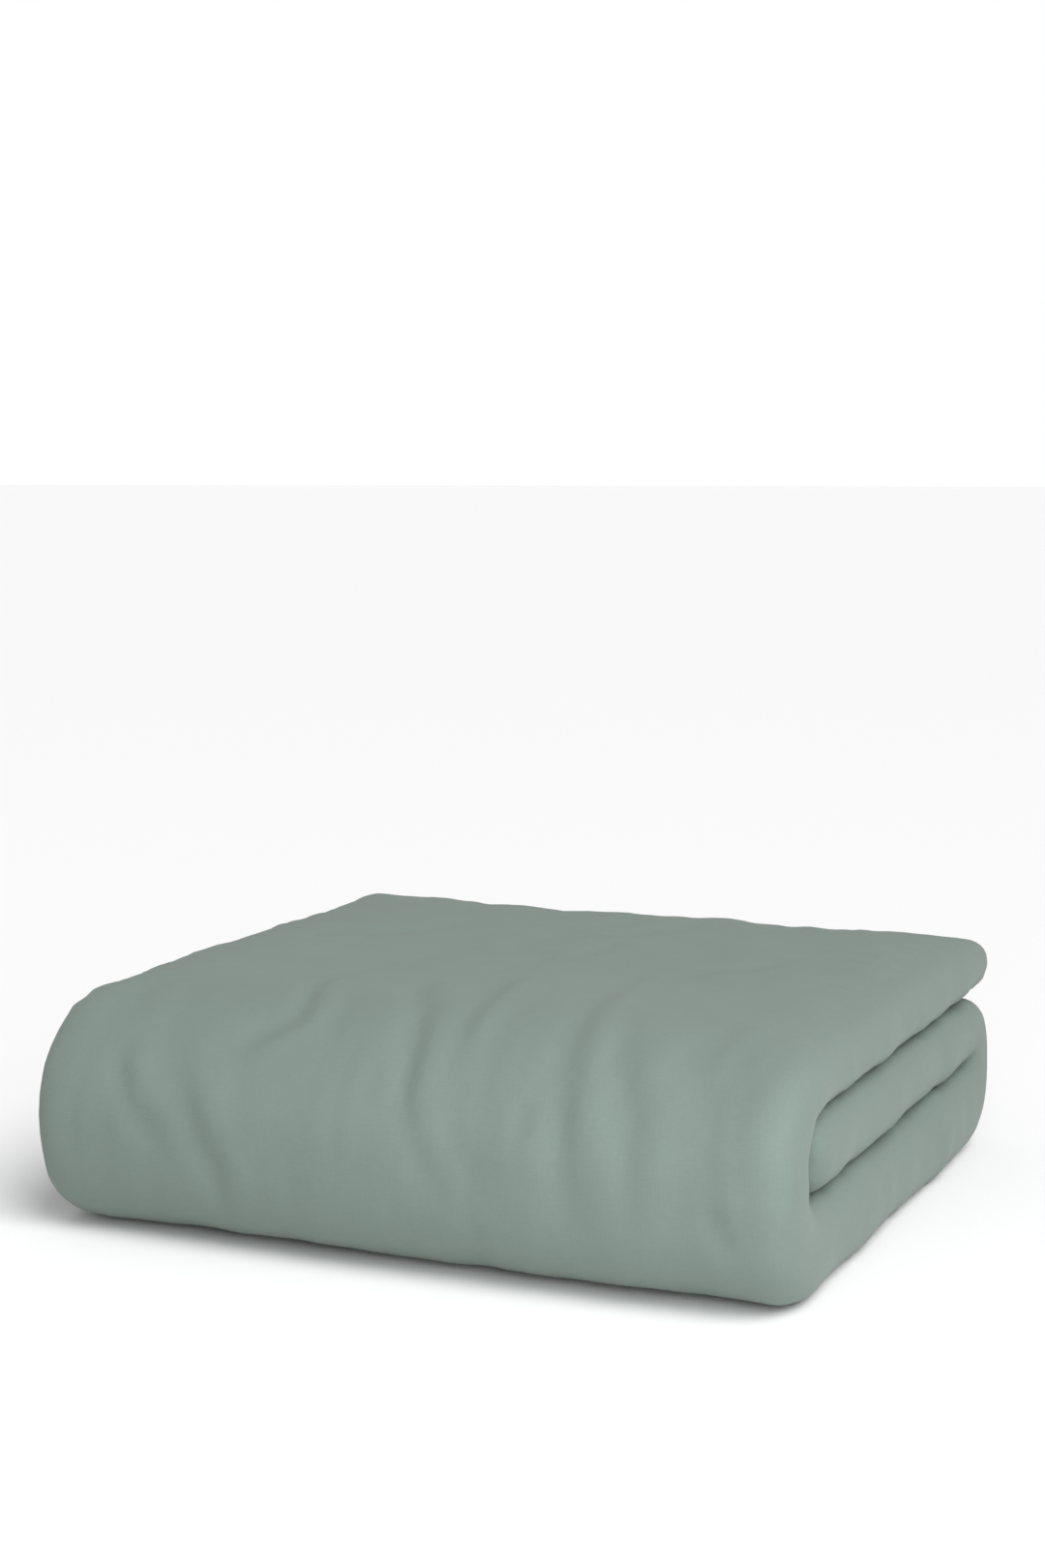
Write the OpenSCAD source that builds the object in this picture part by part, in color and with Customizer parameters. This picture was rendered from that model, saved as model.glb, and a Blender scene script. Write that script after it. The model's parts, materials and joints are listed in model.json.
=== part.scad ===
// A folded duvet: a filled insert inside a buttoned cover.
// The duvet is folded in half along its length, with the fold at +X and the side seams at -X,
// and then in three along its depth: the middle leaf lies inside, between the bottom and top leaves.
// The front roll joins the bottom leaf to the top leaf, and the back fold joins bottom to middle.
// Origin: centre of the base. +X right, +Y back, +Z up. Millimetres.

/* [Folded pack] */
// Width from the side seams to the lengthwise fold
pack_w = 750; // [640:10:900]
// Depth from the front roll to the back fold
pack_d = 710; // [640:10:800]
// Height of the three leaves
pack_h = 218; // [200:3:239]
// How far the top leaf's end stays in front of the back fold
top_setback = 8; // [0:1:30]

/* [Cloth] */
// Thickness that the cover cloth takes up
cloth_t = 1; // [0.8:0.1:1.4]
// Thickness that the insert's ticking takes up
ticking_t = 0.8; // [0.6:0.1:1]
// Room between the insert's edge and the cover's seam
edge_room = 14; // [13:1:16]
// Gap between filled chambers, where the insert is quilted
quilt_gap = 6; // [4:1:12]

/* [Foot closure] */
// Width of the two hems
hem_w = 30; // [26:1:34]
// Thickness of a folded hem
hem_t = 2; // [1.6:0.1:2.2]
// Length sewn shut between the side seam and the mouth
closed_len = 225; // [180:5:280]
// Button diameter
button_d = 15; // [12:0.5:16]
// Button thickness
button_t = 2.6; // [2:0.1:3]
// Distance between buttons along the hem
button_pitch = 190; // [150:5:195]
// Buttons on each side of the lengthwise fold
buttons_a_side = 3; // [1:1:3]

/* [Hidden] */
$fn = 64;
leaf_gap = 1;
ply_gap = 1;
play = 0.5;
roll_hinges = 4;
split_gap = 0.5;
leaf_t = (pack_h - 2 * leaf_gap) / 3;
leaf_pitch = leaf_t + leaf_gap;
ply_t = (leaf_t - ply_gap) / 2;
ply_r = ply_t / 2;
mid_low = ply_r;
mid_high = leaf_t - ply_r;

side_x = -pack_w / 2;
seam_x = side_x + ply_r;
bend_x = pack_w / 2 - leaf_t / 2;

roll_r = pack_h / 2;
roll_in = roll_r - leaf_t;
roll_y = -pack_d / 2 + roll_r;
back_r = leaf_t + leaf_gap / 2;
back_in = leaf_gap / 2;
back_y = pack_d / 2 - back_r;
top_end = pack_d / 2 - top_setback;

in_tick = cloth_t + play;
in_lining = in_tick + ticking_t;
in_fill = in_lining + play;

hem_lift = 0.2;
hem_top = hem_lift + hem_t;
roll_clear = 5;
hem_reach = sqrt(pow(roll_in - roll_clear, 2) - pow((ply_t + ply_gap) / 2 + hem_top, 2));
hem_tip = roll_y - hem_reach;
foot_end = hem_tip + hem_w;
mouth_x = side_x + closed_len;
hem_bend_r = mid_high - leaf_t / 2;
hem_quarter = PI * hem_bend_r / 2;

hole_pitch = 2.4;
hole_r = 0.8;
thread_r = 0.5;
button_lift = hem_top + 0.4;
buttonhole_w = hole_pitch + 2 * thread_r + 0.6;
buttonhole_l = button_d + button_t;

piping_r = 1.2;
ring_r = 3.6;
ring_wire = 0.9;
ring_x = side_x + 45;
label_w = 9;
label_l = 50;
label_t = 0.5;

// The hinge lines of the front roll lie just outside its cloth, at the corners of a polygon whose sides
// are as long as the arcs that they stand for, so that the roll lies flat at its cloth's own length
roll_turn = 180 / roll_hinges;
hinge_side = PI * roll_r * roll_turn / 180;
hinge_r = hinge_side / 2 / sin(roll_turn / 2);
hinges = [for (k = [0 : roll_hinges - 1]) let (a = 270 - (k + 0.5) * roll_turn)
    [roll_y + hinge_r * cos(a), roll_r + hinge_r * sin(a)]];
echo(hinges = hinges);

// Placing flat outlines

// Extrudes an outline in X and height along Y, from y0 to y1
module along_y(y0, y1)
    translate([0, y1, 0]) rotate([90, 0, 0]) linear_extrude(y1 - y0) children();

// Extrudes an outline in Y and height across the whole width
module across_x(x0 = side_x - 1, x1 = pack_w / 2 + 1)
    translate([x0, 0, 0]) rotate([90, 0, 90]) linear_extrude(x1 - x0) children();

// Turns an outline in radius and X about a line along X, from angle a0 over span degrees
module about_x(y, z, a0, span)
    translate([0, y, z]) rotate([90, 0, 90]) rotate([0, 0, a0])
        rotate_extrude(angle = span) children();

// Swaps an outline's axes and starts it at the radius r, for about_x
module as_radius(r) translate([r, 0]) mirror([1, -1]) children();

module box2(x0, x1, y0, y1) translate([x0, y0]) square([x1 - x0, y1 - y0]);

module box3(x0, x1, y0, y1, z0, z1)
    translate([x0, y0, z0]) cube([x1 - x0, y1 - y0, z1 - z0]);

module stadium(x0, x1, y0, y1) {
    r = (y1 - y0) / 2;
    box2(x0 + r, x1 - r, y0, y1);
    for (x = [x0 + r, x1 - r])
        translate([x, y0 + r]) circle(r);
}

// The leaf: two plies that are one around the lengthwise fold

// Section of a leaf across its length, drawn in by inset, with its side edges shorter by short
module leaf_section(inset = 0, short = 0) {
    for (mid = [mid_low, mid_high]) {
        box2(seam_x + short, bend_x, mid - ply_r + inset, mid + ply_r - inset);
        translate([seam_x + short, mid]) circle(ply_r - inset);
    }
    translate([bend_x, leaf_t / 2]) intersection() {
        difference() {
            circle(leaf_t / 2 - inset);
            circle(ply_gap / 2 + inset);
        }
        box2(0, leaf_t, -leaf_t, leaf_t);
    }
}

// Side view of a leaf that runs from y0 to a free end with its two plies rounded, at end
module leaf_side(y0, end, inset = 0, short = 0) {
    centre = end - ply_r - short;
    for (mid = [mid_low, mid_high]) {
        box2(y0, centre, mid - ply_r + inset, mid + ply_r - inset);
        translate([centre, mid]) circle(ply_r - inset);
    }
    box2(y0, centre - 2 * inset, mid_low + ply_r - inset, mid_high - ply_r + inset);
}

// A leaf with a free end towards +Y
module ended_leaf(y0, end, inset = 0, short = 0)
    intersection() {
        along_y(y0 - inset, end + 1) leaf_section(inset, short);
        across_x() leaf_side(y0 - inset, end, inset, short);
    }

module skin_section(outside, thick, short = 0)
    difference() {
        leaf_section(outside, short);
        leaf_section(outside + thick, short);
    }

// The part of a section or leaf that the back panel covers: the faces of the plies that meet
module back_zone_2d()
    box2(side_x - 1, bend_x + ply_gap / 2 + cloth_t + 0.2, mid_low, mid_high);

module back_zone()
    box3(side_x - 1, bend_x + ply_gap / 2 + cloth_t + 0.2, -pack_d, pack_d, mid_low, mid_high);

module panel_section(side)
    if (side == "front")
        difference() { skin_section(0, cloth_t); back_zone_2d(); }
    else
        intersection() { skin_section(0, cloth_t); back_zone_2d(); }

module ended_skin(y0, end)
    difference() {
        ended_leaf(y0, end);
        ended_leaf(y0, end, cloth_t);
    }

module ended_panel(side, y0, end)
    if (side == "front")
        difference() { ended_skin(y0, end); back_zone(); }
    else
        intersection() { ended_skin(y0, end); back_zone(); }

// Places, shared by the cover, the insert and the filling

module at_middle() translate([0, 0, leaf_pitch]) children();
module at_top() translate([0, 0, 2 * leaf_pitch]) children();
module turned_front() mirror([0, 1, 0]) children();
module back_fold() about_x(back_y, back_r, -90, 180) as_radius(back_in) children();
module roll(a0, a1) about_x(roll_y, roll_r, a0, a1 - a0) as_radius(roll_in) children();

// Section k of the roll, counted up from the bottom leaf. The hinges part the sections, and the first
// and last end against their leaves. Each side that faces a hinge is drawn back by half of gap.
function hinge_angle(k) = 270 - (k + 0.5) * roll_turn;
function half_gap(gap) = gap / 2 / roll_r * 180 / PI;
module roll_section(k, gap = split_gap)
    roll(k == roll_hinges ? 90 : hinge_angle(k) + half_gap(gap),
         k == 0 ? 270 : hinge_angle(k - 1) - half_gap(gap))
        children();

module bottom_span() along_y(roll_y, back_y) children();

// The cover's two panels

module cover_bottom(side) bottom_span() panel_section(side);
module cover_back_fold(side) back_fold() panel_section(side);
module cover_middle(side) at_middle() turned_front() ended_panel(side, -back_y, -foot_end);
module cover_top(side) at_top() ended_panel(side, roll_y, top_end);
module cover_roll(side, k) roll_section(k) panel_section(side);

// The insert's ticking

module ticking_section() skin_section(in_tick, ticking_t, edge_room);

module ticking_ended(y0, end)
    difference() {
        ended_leaf(y0, end, in_tick, edge_room);
        ended_leaf(y0, end, in_lining, edge_room);
    }

module insert_shell_bottom() bottom_span() ticking_section();
module insert_shell_back_fold() back_fold() ticking_section();
module insert_shell_roll(k) roll_section(k) ticking_section();

module insert_shell_top() at_top()
    intersection() {
        ticking_ended(roll_y, top_end);
        box3(side_x, pack_w / 2, roll_y, top_end, 0, leaf_t);
    }

module insert_shell_middle() at_middle() turned_front()
    intersection() {
        ticking_ended(-back_y, -foot_end);
        box3(side_x, pack_w / 2, -back_y, -foot_end, 0, leaf_t);
    }

// The filling: chambers in two columns, with the quilting seams between them

fill_left = side_x + edge_room + in_fill;
fill_right = bend_x + ply_r - in_fill;
column_w = (fill_right - fill_left - quilt_gap) / 2;

module columns()
    for (left = [fill_left, fill_left + column_w + quilt_gap])
        translate([left, 0, 0]) children();

module chamber(depth, height)
    intersection() {
        along_y(0, depth) stadium(0, column_w, 0, height);
        across_x(0, column_w) stadium(0, depth, 0, height);
    }

// Two rows of chambers in one ply, from y0 to y1, with the ply's middle at height mid
module ply_fill(y0, y1, mid) {
    depth = (y1 - y0 - 2 * quilt_gap) / 2;
    height = 2 * (ply_r - in_fill);
    for (row = [0, 1])
        translate([0, y0 + quilt_gap / 2 + row * (depth + quilt_gap), mid - height / 2])
            columns() chamber(depth, height);
}

// Section of a curved row of chambers
module fold_fill_section(mid)
    columns() translate([0, mid - ply_r + in_fill])
        stadium(0, column_w, 0, 2 * (ply_r - in_fill));

module fill_both() for (mid = [mid_low, mid_high]) fold_fill_section(mid);

module fill_back_fold() back_fold() fill_both();
module fill_roll(k) roll_section(k, quilt_gap) fill_both();
module fill_bottom(mid) ply_fill(roll_y, back_y, mid);
module fill_middle(mid) at_middle()
    ply_fill(foot_end + edge_room + in_fill, back_y, mid);
module fill_top(mid) at_top()
    ply_fill(roll_y, top_end - edge_room - in_fill, mid);

// Piping along the insert's edge

piping_x = side_x + edge_room + in_tick - piping_r - 0.2;

module piping_section()
    for (mid = [mid_low, mid_high])
        translate([piping_x, mid]) circle(piping_r);

module side_piping(y0, y1) along_y(y0, y1) piping_section();

module end_piping(y)
    for (mid = [mid_low, mid_high])
        across_x(seam_x + edge_room, bend_x) translate([y, mid]) circle(piping_r);

module insert_piping_roll(k) roll_section(k, 2 * piping_r) piping_section();

module insert_piping_base() {
    side_piping(roll_y + play, back_y - play);
    back_fold() piping_section();
    at_middle() {
        side_piping(foot_end + ply_r + edge_room, back_y - play);
        end_piping(foot_end + edge_room + in_tick - piping_r - 0.2);
    }
}

module insert_piping_top() at_top() {
    side_piping(roll_y + play, top_end - ply_r - edge_room);
    end_piping(top_end - edge_room - in_tick + piping_r + 0.2);
}

// The foot closure: hems that run round the lengthwise fold, with buttons on both plies

// Band round the fold, between two offsets outward from the plies' middles
module hem_section(low, high) {
    for (s = [-1, 1])
        translate([0, leaf_t / 2])
            box2(mouth_x, bend_x,
                 min(s * (hem_bend_r + low), s * (hem_bend_r + high)),
                 max(s * (hem_bend_r + low), s * (hem_bend_r + high)));
    translate([bend_x, leaf_t / 2]) intersection() {
        difference() {
            circle(hem_bend_r + high);
            circle(hem_bend_r + low);
        }
        box2(0, leaf_t, -leaf_t, leaf_t);
    }
}

button_y = hem_tip + hem_w / 2;

// Puts its children at each button, with +Z outward from the hem's middle
module at_buttons()
    for (s = [-1, 1], i = [0 : buttons_a_side - 1])
        translate([bend_x + hem_quarter - (i + 0.5) * button_pitch, button_y,
                   leaf_pitch + leaf_t / 2 + s * hem_bend_r])
            rotate([s < 0 ? 180 : 0, 0, 0]) children();

module buttonhole()
    linear_extrude(hem_top + 1)
        stadium(-buttonhole_l / 2, buttonhole_l / 2, -buttonhole_w / 2, buttonhole_w / 2);

module hem_front()
    difference() {
        at_middle() along_y(hem_tip, foot_end) hem_section(hem_lift, hem_top);
        at_buttons() buttonhole();
    }

module hem_back() at_middle() along_y(hem_tip, foot_end) hem_section(-hem_top, -hem_lift);

module hole_places()
    for (x = [-hole_pitch / 2, hole_pitch / 2], y = [-hole_pitch / 2, hole_pitch / 2])
        translate([x, y, 0]) children();

module button()
    translate([0, 0, button_lift]) difference() {
        cylinder(d = button_d, h = button_t);
        translate([0, 0, button_t - 0.7]) cylinder(d = button_d * 0.66, h = 1);
        hole_places() translate([0, 0, -1]) cylinder(r = hole_r, h = button_t + 2);
    }

module button_thread() {
    floor_z = button_lift + button_t - 0.7;
    hole_places() translate([0, 0, -hem_lift]) cylinder(r = thread_r, h = floor_z + hem_lift + 0.3);
    for (x = [-hole_pitch / 2, hole_pitch / 2])
        translate([x - thread_r * 0.8, -hole_pitch / 2, floor_z + 0.05])
            cube([thread_r * 1.6, hole_pitch, 0.5]);
}

module buttons() at_buttons() button();
module button_threads() at_buttons() button_thread();

// Ties of the cover linked through loops of the insert, in both plies of the side corners

module ring() rotate_extrude() translate([ring_r, 0]) circle(ring_wire);

module at_corners(y, z)
    for (mid = [mid_low, mid_high])
        translate([ring_x, y, z + mid]) children();

module ties(y, z) at_corners(y, z) translate([ring_r, 0, 0]) rotate([90, 0, 0]) ring();
module loops(y, z) at_corners(y, z) ring();

ring_back = cloth_t + ring_r + ring_wire + 0.4;
foot_ring_y = foot_end + ring_back;
head_ring_y = top_end - ring_back;

module care_label()
    translate([side_x + cloth_t + 0.6, 0, leaf_pitch + mid_high - label_t / 2])
        cube([label_w, label_l, label_t]);

sage = [0.55, 0.63, 0.59];
ticking_white = [0.93, 0.93, 0.9];
fill_white = [0.97, 0.97, 0.96];
shell_white = [0.86, 0.84, 0.78];
thread_sage = [0.48, 0.56, 0.52];

color(sage) cover_bottom("front");  // front_panel_bottom
color(sage) cover_back_fold("front");  // front_panel_back_fold
color(sage) cover_middle("front");  // front_panel_middle
color(sage) cover_top("front");  // front_panel_top
color(sage) cover_bottom("back");  // back_panel_bottom
color(sage) cover_back_fold("back");  // back_panel_back_fold
color(sage) cover_middle("back");  // back_panel_middle
color(sage) cover_top("back");  // back_panel_top
color(ticking_white) insert_shell_bottom();
color(ticking_white) insert_shell_back_fold();
color(ticking_white) insert_shell_middle();
color(ticking_white) insert_shell_top();
color(fill_white) fill_bottom(mid_low);  // fill_bottom_outer
color(fill_white) fill_bottom(mid_high);  // fill_bottom_inner
color(fill_white) fill_back_fold();
color(fill_white) fill_middle(mid_high);  // fill_middle_outer
color(fill_white) fill_middle(mid_low);  // fill_middle_inner
color(fill_white) fill_top(mid_high);  // fill_top_outer
color(fill_white) fill_top(mid_low);  // fill_top_inner
color(ticking_white) insert_piping_base();
color(ticking_white) insert_piping_top();
color(sage) hem_front();
color(sage) hem_back();
color(shell_white) buttons();
color(thread_sage) button_threads();
color(sage) ties(foot_ring_y, leaf_pitch);  // corner_ties_foot
color(ticking_white) loops(foot_ring_y, leaf_pitch);  // corner_loops_foot
color(sage) ties(head_ring_y, 2 * leaf_pitch);  // corner_ties_head
color(ticking_white) loops(head_ring_y, 2 * leaf_pitch);  // corner_loops_head
color(fill_white) care_label();

for (k = [0 : roll_hinges]) {
    color(sage) cover_roll("front", k);
    color(sage) cover_roll("back", k);
    color(ticking_white) insert_shell_roll(k);
    color(fill_white) fill_roll(k);
    color(ticking_white) insert_piping_roll(k);
}
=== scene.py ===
import json
import math

import bpy
import numpy as np
from bpy.props import FloatProperty, FloatVectorProperty, PointerProperty
from mathutils import Matrix, Vector

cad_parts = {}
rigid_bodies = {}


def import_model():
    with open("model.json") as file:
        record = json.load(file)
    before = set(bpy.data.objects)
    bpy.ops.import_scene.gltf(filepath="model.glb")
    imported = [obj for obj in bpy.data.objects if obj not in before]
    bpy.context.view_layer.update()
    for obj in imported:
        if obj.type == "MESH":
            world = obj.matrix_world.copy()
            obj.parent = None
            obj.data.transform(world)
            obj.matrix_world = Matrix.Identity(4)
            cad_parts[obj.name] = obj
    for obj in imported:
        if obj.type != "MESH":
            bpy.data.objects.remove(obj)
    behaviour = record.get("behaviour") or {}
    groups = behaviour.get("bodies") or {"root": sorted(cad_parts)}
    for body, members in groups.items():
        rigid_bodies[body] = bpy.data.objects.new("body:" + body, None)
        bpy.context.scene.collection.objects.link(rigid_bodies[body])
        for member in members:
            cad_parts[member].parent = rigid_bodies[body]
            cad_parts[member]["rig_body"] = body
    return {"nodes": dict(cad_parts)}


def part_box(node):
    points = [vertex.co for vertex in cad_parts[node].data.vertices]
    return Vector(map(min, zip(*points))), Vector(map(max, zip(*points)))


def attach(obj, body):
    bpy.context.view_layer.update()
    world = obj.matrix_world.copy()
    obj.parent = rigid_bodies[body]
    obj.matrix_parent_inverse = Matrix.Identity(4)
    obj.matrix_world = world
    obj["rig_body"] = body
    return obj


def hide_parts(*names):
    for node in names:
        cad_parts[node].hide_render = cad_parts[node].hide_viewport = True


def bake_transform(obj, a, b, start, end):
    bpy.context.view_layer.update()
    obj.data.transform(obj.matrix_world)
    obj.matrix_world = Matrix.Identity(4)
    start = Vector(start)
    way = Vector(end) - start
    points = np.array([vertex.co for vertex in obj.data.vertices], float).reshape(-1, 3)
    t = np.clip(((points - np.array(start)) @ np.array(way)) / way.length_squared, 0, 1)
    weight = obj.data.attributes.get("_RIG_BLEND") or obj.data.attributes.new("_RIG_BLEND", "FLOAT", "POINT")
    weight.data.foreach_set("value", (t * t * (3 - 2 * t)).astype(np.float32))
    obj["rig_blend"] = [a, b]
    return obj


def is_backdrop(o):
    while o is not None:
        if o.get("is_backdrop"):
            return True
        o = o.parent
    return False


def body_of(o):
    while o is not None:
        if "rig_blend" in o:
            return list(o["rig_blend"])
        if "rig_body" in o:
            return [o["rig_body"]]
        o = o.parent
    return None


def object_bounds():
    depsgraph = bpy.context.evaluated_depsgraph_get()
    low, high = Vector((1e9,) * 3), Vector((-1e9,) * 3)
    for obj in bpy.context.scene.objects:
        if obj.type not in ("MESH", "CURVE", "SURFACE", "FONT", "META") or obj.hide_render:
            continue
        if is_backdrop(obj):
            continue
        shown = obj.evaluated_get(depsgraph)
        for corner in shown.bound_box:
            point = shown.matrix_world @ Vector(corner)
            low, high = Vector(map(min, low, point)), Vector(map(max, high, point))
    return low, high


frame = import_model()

bl_info = {
    "name": "Folded duvet",
    "version": (1, 0, 0),
    "blender": (4, 5, 0),
    "location": "View3D > Sidebar > Duvet",
    "description": "A filled duvet in its buttoned cover, folded into a storage pack",
    "category": "Object",
}

# ---------------------------------------------------------------- places taken from the frame

LOW, HIGH = (np.array(c, float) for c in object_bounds())

PACK_H = float(HIGH[2])
LEAF_T = float(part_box("front_panel_bottom")[1][2])  # thickness of one leaf, two plies
LEAF_GAP = (PACK_H - 3 * LEAF_T) / 2
PLY_GAP = 0.001
PLY_MID = (LEAF_T + PLY_GAP) / 4  # from the leaf's middle to a ply's middle
SIDE_X = float(LOW[0])
BEND_X = float(HIGH[0]) - LEAF_T / 2
ROLL_R = PACK_H / 2
ROLL_Y = float(LOW[1]) + ROLL_R
ROLL_MID = ROLL_R - LEAF_T / 2
BACK_R = LEAF_T + LEAF_GAP / 2
BACK_Y = float(HIGH[1]) - BACK_R
BACK_MID = BACK_R - LEAF_T / 2
TOP_END = float(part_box("front_panel_top")[1][1])
HEM_TIP, FOOT_END = (float(c[1]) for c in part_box("hem_front"))
MOUTH_X = float(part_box("hem_front")[0][0])
HINGES = 4

# The duvet's length runs along the spiral: middle leaf, back fold, bottom leaf, front roll, top leaf
S_MIDDLE = BACK_Y - FOOT_END
S_BACK = S_MIDDLE + math.pi * BACK_MID
S_BOTTOM = S_BACK + BACK_Y - ROLL_Y
S_ROLL = S_BOTTOM + math.pi * ROLL_MID
S_END = S_ROLL + TOP_END - ROLL_Y

BASE = "base"
SIM_FRAMES = 16  # steps of the cloth simulation
FOLD_CAP = 0.006  # highest simulated fold
BODIES = [BASE, "roll_low", "roll_front", "roll_high", "top_leaf"]


def smooth(t):
    """Smooth step of t, held within 0 and 1."""
    t = np.clip(t, 0, 1)
    return t * t * (3 - 2 * t)


def rounding(t, power=2.2):
    """0 at an edge and 1 from t = 1 on, rising as a superellipse does."""
    return (1 - (1 - np.clip(t, 0, 1)) ** power) ** (1 / power)


# ---------------------------------------------------------------- noise and creases


def value_noise(x, y, seed, cells=61):
    """Smooth noise from -1 to 1 over arrays x and y, with one cell to each unit."""
    table = np.random.RandomState(seed).uniform(-1, 1, (cells, cells))
    ix, iy = np.floor(x).astype(int), np.floor(y).astype(int)
    fx, fy = x - ix, y - iy
    fx, fy = (f * f * f * (f * (6 * f - 15) + 10) for f in (fx, fy))
    a, b = ix % cells, (ix + 1) % cells
    c, d = iy % cells, (iy + 1) % cells
    low = table[a, c] * (1 - fx) + table[b, c] * fx
    high = table[a, d] * (1 - fx) + table[b, d] * fx
    return low * (1 - fy) + high * fy


def soft_noise(x, y, seed, octaves=3):
    total, size = 0, 0
    for k in range(octaves):
        turn = 0.7 * k
        xr, yr = x * math.cos(turn) - y * math.sin(turn), x * math.sin(turn) + y * math.cos(turn)
        total = total + value_noise(xr * 2**k + 7.3 * k, yr * 2**k + 3.1 * k, seed + k) / 2**k
        size += 1 / 2**k
    return total / size


def crease(x, s, points, width, depth, ridge=0.6):
    """A soft valley along a line of (x, s) points, with a low ridge on one side, fading at its ends."""
    best = np.full(x.shape, 1e9)
    side = np.zeros(x.shape)
    along = np.zeros(x.shape)
    pts = np.array(points, float)
    lengths = np.hypot(*(pts[1:] - pts[:-1]).T)
    start = np.concatenate([[0], np.cumsum(lengths)])
    for k in range(len(lengths)):
        (ax, ay), (bx, by) = pts[k], pts[k + 1]
        dx, dy = (bx - ax) / lengths[k], (by - ay) / lengths[k]
        t = np.clip((x - ax) * dx + (s - ay) * dy, 0, lengths[k])
        off_x, off_y = x - ax - t * dx, s - ay - t * dy
        gap = np.hypot(off_x, off_y)
        nearer = gap < best
        best = np.where(nearer, gap, best)
        side = np.where(nearer, dx * off_y - dy * off_x, side)
        along = np.where(nearer, start[k] + t, along)
    span = start[-1]
    fade = smooth(along / (0.35 * span)) * smooth((span - along) / (0.35 * span))
    offset = np.sign(side) * best
    valley = -np.exp(-((offset / width) ** 2))
    bank = np.exp(-(((offset - 1.7 * width) / (1.2 * width)) ** 2))
    return depth * fade * (valley + ridge * bank)


# ---------------------------------------------------------------- the spiral that the leaf follows


def spiral(s, n):
    """(y, z) of points at length s, n outward from the leaf's middle."""
    a_back = np.clip((s - S_MIDDLE) / BACK_MID, 0, math.pi)
    a_roll = np.clip((s - S_BOTTOM) / ROLL_MID, 0, math.pi)
    parts = [
        (s < S_MIDDLE, FOOT_END + s, PACK_H / 2 + n),
        (s < S_BACK, BACK_Y + (BACK_MID + n) * np.sin(a_back), BACK_R + (BACK_MID + n) * np.cos(a_back)),
        (s < S_BOTTOM, BACK_Y - (s - S_BACK), LEAF_T / 2 - n),
        (s < S_ROLL, ROLL_Y - (ROLL_MID + n) * np.sin(a_roll), ROLL_R - (ROLL_MID + n) * np.cos(a_roll)),
        (s >= S_ROLL, ROLL_Y + s - S_ROLL, PACK_H - LEAF_T / 2 + n),
    ]
    y, z = np.zeros_like(n), np.zeros_like(n)
    done = np.zeros(n.shape, bool)
    for inside, y_part, z_part in parts:
        pick = inside & ~done
        y, z = np.where(pick, y_part, y), np.where(pick, z_part, z)
        done |= inside
    return y, z


def settle(p, looks):
    """The pack's own sag: the roll bears on the floor, the fold's ends swell, and the top is crowned."""
    x, y, z = p[..., 0], p[..., 1].copy(), p[..., 2].copy()
    # the front roll is squarer below than above
    dy, dz = y - ROLL_Y, z - ROLL_R
    reach = np.hypot(dy, dz) / ROLL_R
    angle = np.arctan2(dz, -dy)
    power = 2.0 + looks.roll_sag * smooth(0.5 - np.sin(angle))
    swell = (np.abs(np.cos(angle)) ** power + np.abs(np.sin(angle)) ** power) ** (-1 / power) - 1
    grow = np.where(y < ROLL_Y, swell * np.clip(reach, 0, 1) ** 2, 0)
    y, z = ROLL_Y + dy * (1 + grow), ROLL_R + dz * (1 + grow)
    # the lower leaves swell more than the top one at the lengthwise fold
    near_fold = smooth((x - 0.285) / 0.07)
    z = z + looks.fold_lift * near_fold * np.sin(math.pi * np.clip(z / PACK_H, 0, 1))
    # crown
    across = 1 - np.clip(np.abs(x) / 0.375, 0, 1) ** 6
    deep = 1 - np.clip(np.abs(y + 0.01) / 0.36, 0, 1) ** 4
    z = z + looks.crown * across * deep * np.clip(z / PACK_H, 0, 1) ** 4
    # the roll's seamed side is drawn in
    x = x + looks.side_tuck * smooth((-0.24 - x) / 0.13) * smooth((ROLL_Y + 0.12 - y) / 0.12)
    return np.stack([x, y, z], axis=-1)


# ---------------------------------------------------------------- bags: cover, insert and filling


def stations(length, edge, step, cuts=()):
    """Places along an edge-to-edge length: close together in the rounded ends, and on every cut."""
    turns = np.linspace(0, math.pi / 2, 9)
    ends = edge * (1 - np.cos(turns))
    marks = [edge] + [c for c in cuts if edge < c < length - edge] + [length - edge]
    middle = []
    for a, b in zip(marks[:-1], marks[1:]):
        count = max(1, round((b - a) / step))
        middle += list(np.linspace(a, b, count + 1)[:-1])
    return np.array(list(ends[:-1]) + middle + list((length - ends)[::-1]))


CUTS = {  # lengths where one piece ends and the next begins
    "middle": (-1.0, S_MIDDLE),
    "lower": (S_MIDDLE, S_BOTTOM + ROLL_MID * math.radians(45)),
    "roll_low": (S_BOTTOM + ROLL_MID * math.radians(45), S_BOTTOM + ROLL_MID * math.radians(90)),
    "roll_high": (S_BOTTOM + ROLL_MID * math.radians(90), S_BOTTOM + ROLL_MID * math.radians(135)),
    "upper": (S_BOTTOM + ROLL_MID * math.radians(135), 9.0),
}
NOSE_OUT = 0.028  # how far the cover runs past the foot's seam at the lengthwise fold
EAR_FROM, EAR_TO = 0.290, 0.338  # where the middle leaf's end swells to fill the roll's hollow


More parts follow.
